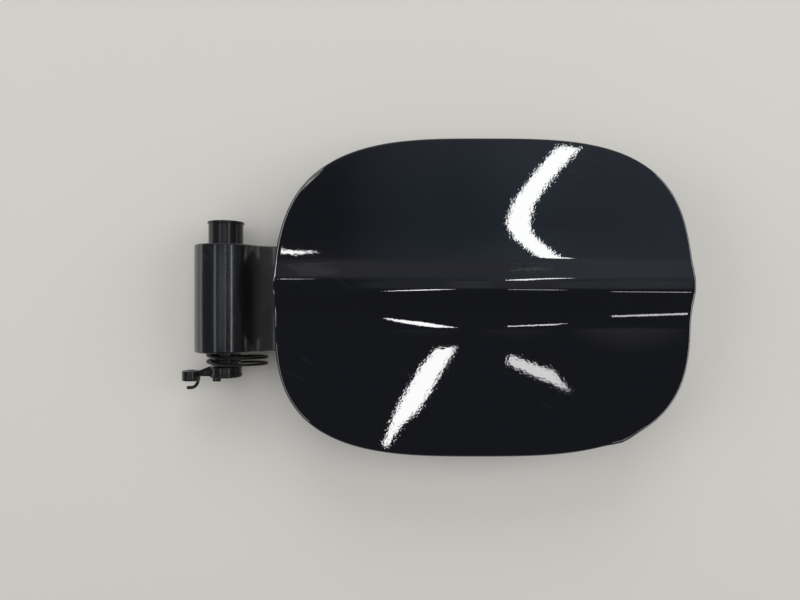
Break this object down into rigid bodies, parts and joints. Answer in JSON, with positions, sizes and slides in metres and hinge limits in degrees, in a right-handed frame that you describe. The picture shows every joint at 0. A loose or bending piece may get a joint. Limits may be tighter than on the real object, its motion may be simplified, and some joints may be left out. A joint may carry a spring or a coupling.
{
  "type": "car fuel door",
  "caption": "Painted sheet metal fuel door with a crease line, on a gooseneck hinge arm with its pivot, cable lever and torsion spring.",
  "frame": {"origin": "on the pivot's axis, at the middle of the arm's curl", "axes": "+X from the hinge to the latch, +Y along the pivot's axis, +Z out of the painted face"},
  "size_m": [0.2397, 0.1467, 0.0393],
  "materials": {
    "black_paint": "high gloss clear coat",
    "black_plastic": "satin",
    "zinc_steel": "zinc plated, dull",
    "nylon": "satin",
    "rubber": "matt",
    "spring_steel": "dark, oiled",
    "mastic": "matt"
  },
  "bodies": {
    "pivot": {"pivot_barrel": "black_plastic", "pivot_tube": "zinc_steel", "thrust_washer": "nylon", "spacer_collar": "black_plastic", "hook_lever": "black_plastic", "retaining_clip": "zinc_steel", "torsion_spring": "spring_steel"},
    "door": {"outer_skin": "black_paint", "inner_panel": "black_paint", "hinge_arm": "black_paint", "mastic_pads": "mastic", "arm_studs": "zinc_steel", "arm_nuts": "zinc_steel", "upper_bush": "nylon", "lower_bush": "nylon", "latch_striker": "zinc_steel", "striker_studs": "zinc_steel", "striker_nuts": "zinc_steel", "bump_stop_1": "rubber", "bump_stop_2": "rubber", "bump_stop_3": "rubber", "bump_stop_4": "rubber", "cap_holder": "black_plastic", "cap_holder_clips": "nylon"}
  },
  "joints": [
    {"name": "door_hinge", "type": "hinge", "parent": "pivot", "child": "door", "pos_m": [0, 0, 0], "axis": [0, -1, 0], "range_deg": [0, 100], "deforming": ["torsion_spring"]}
  ]
}
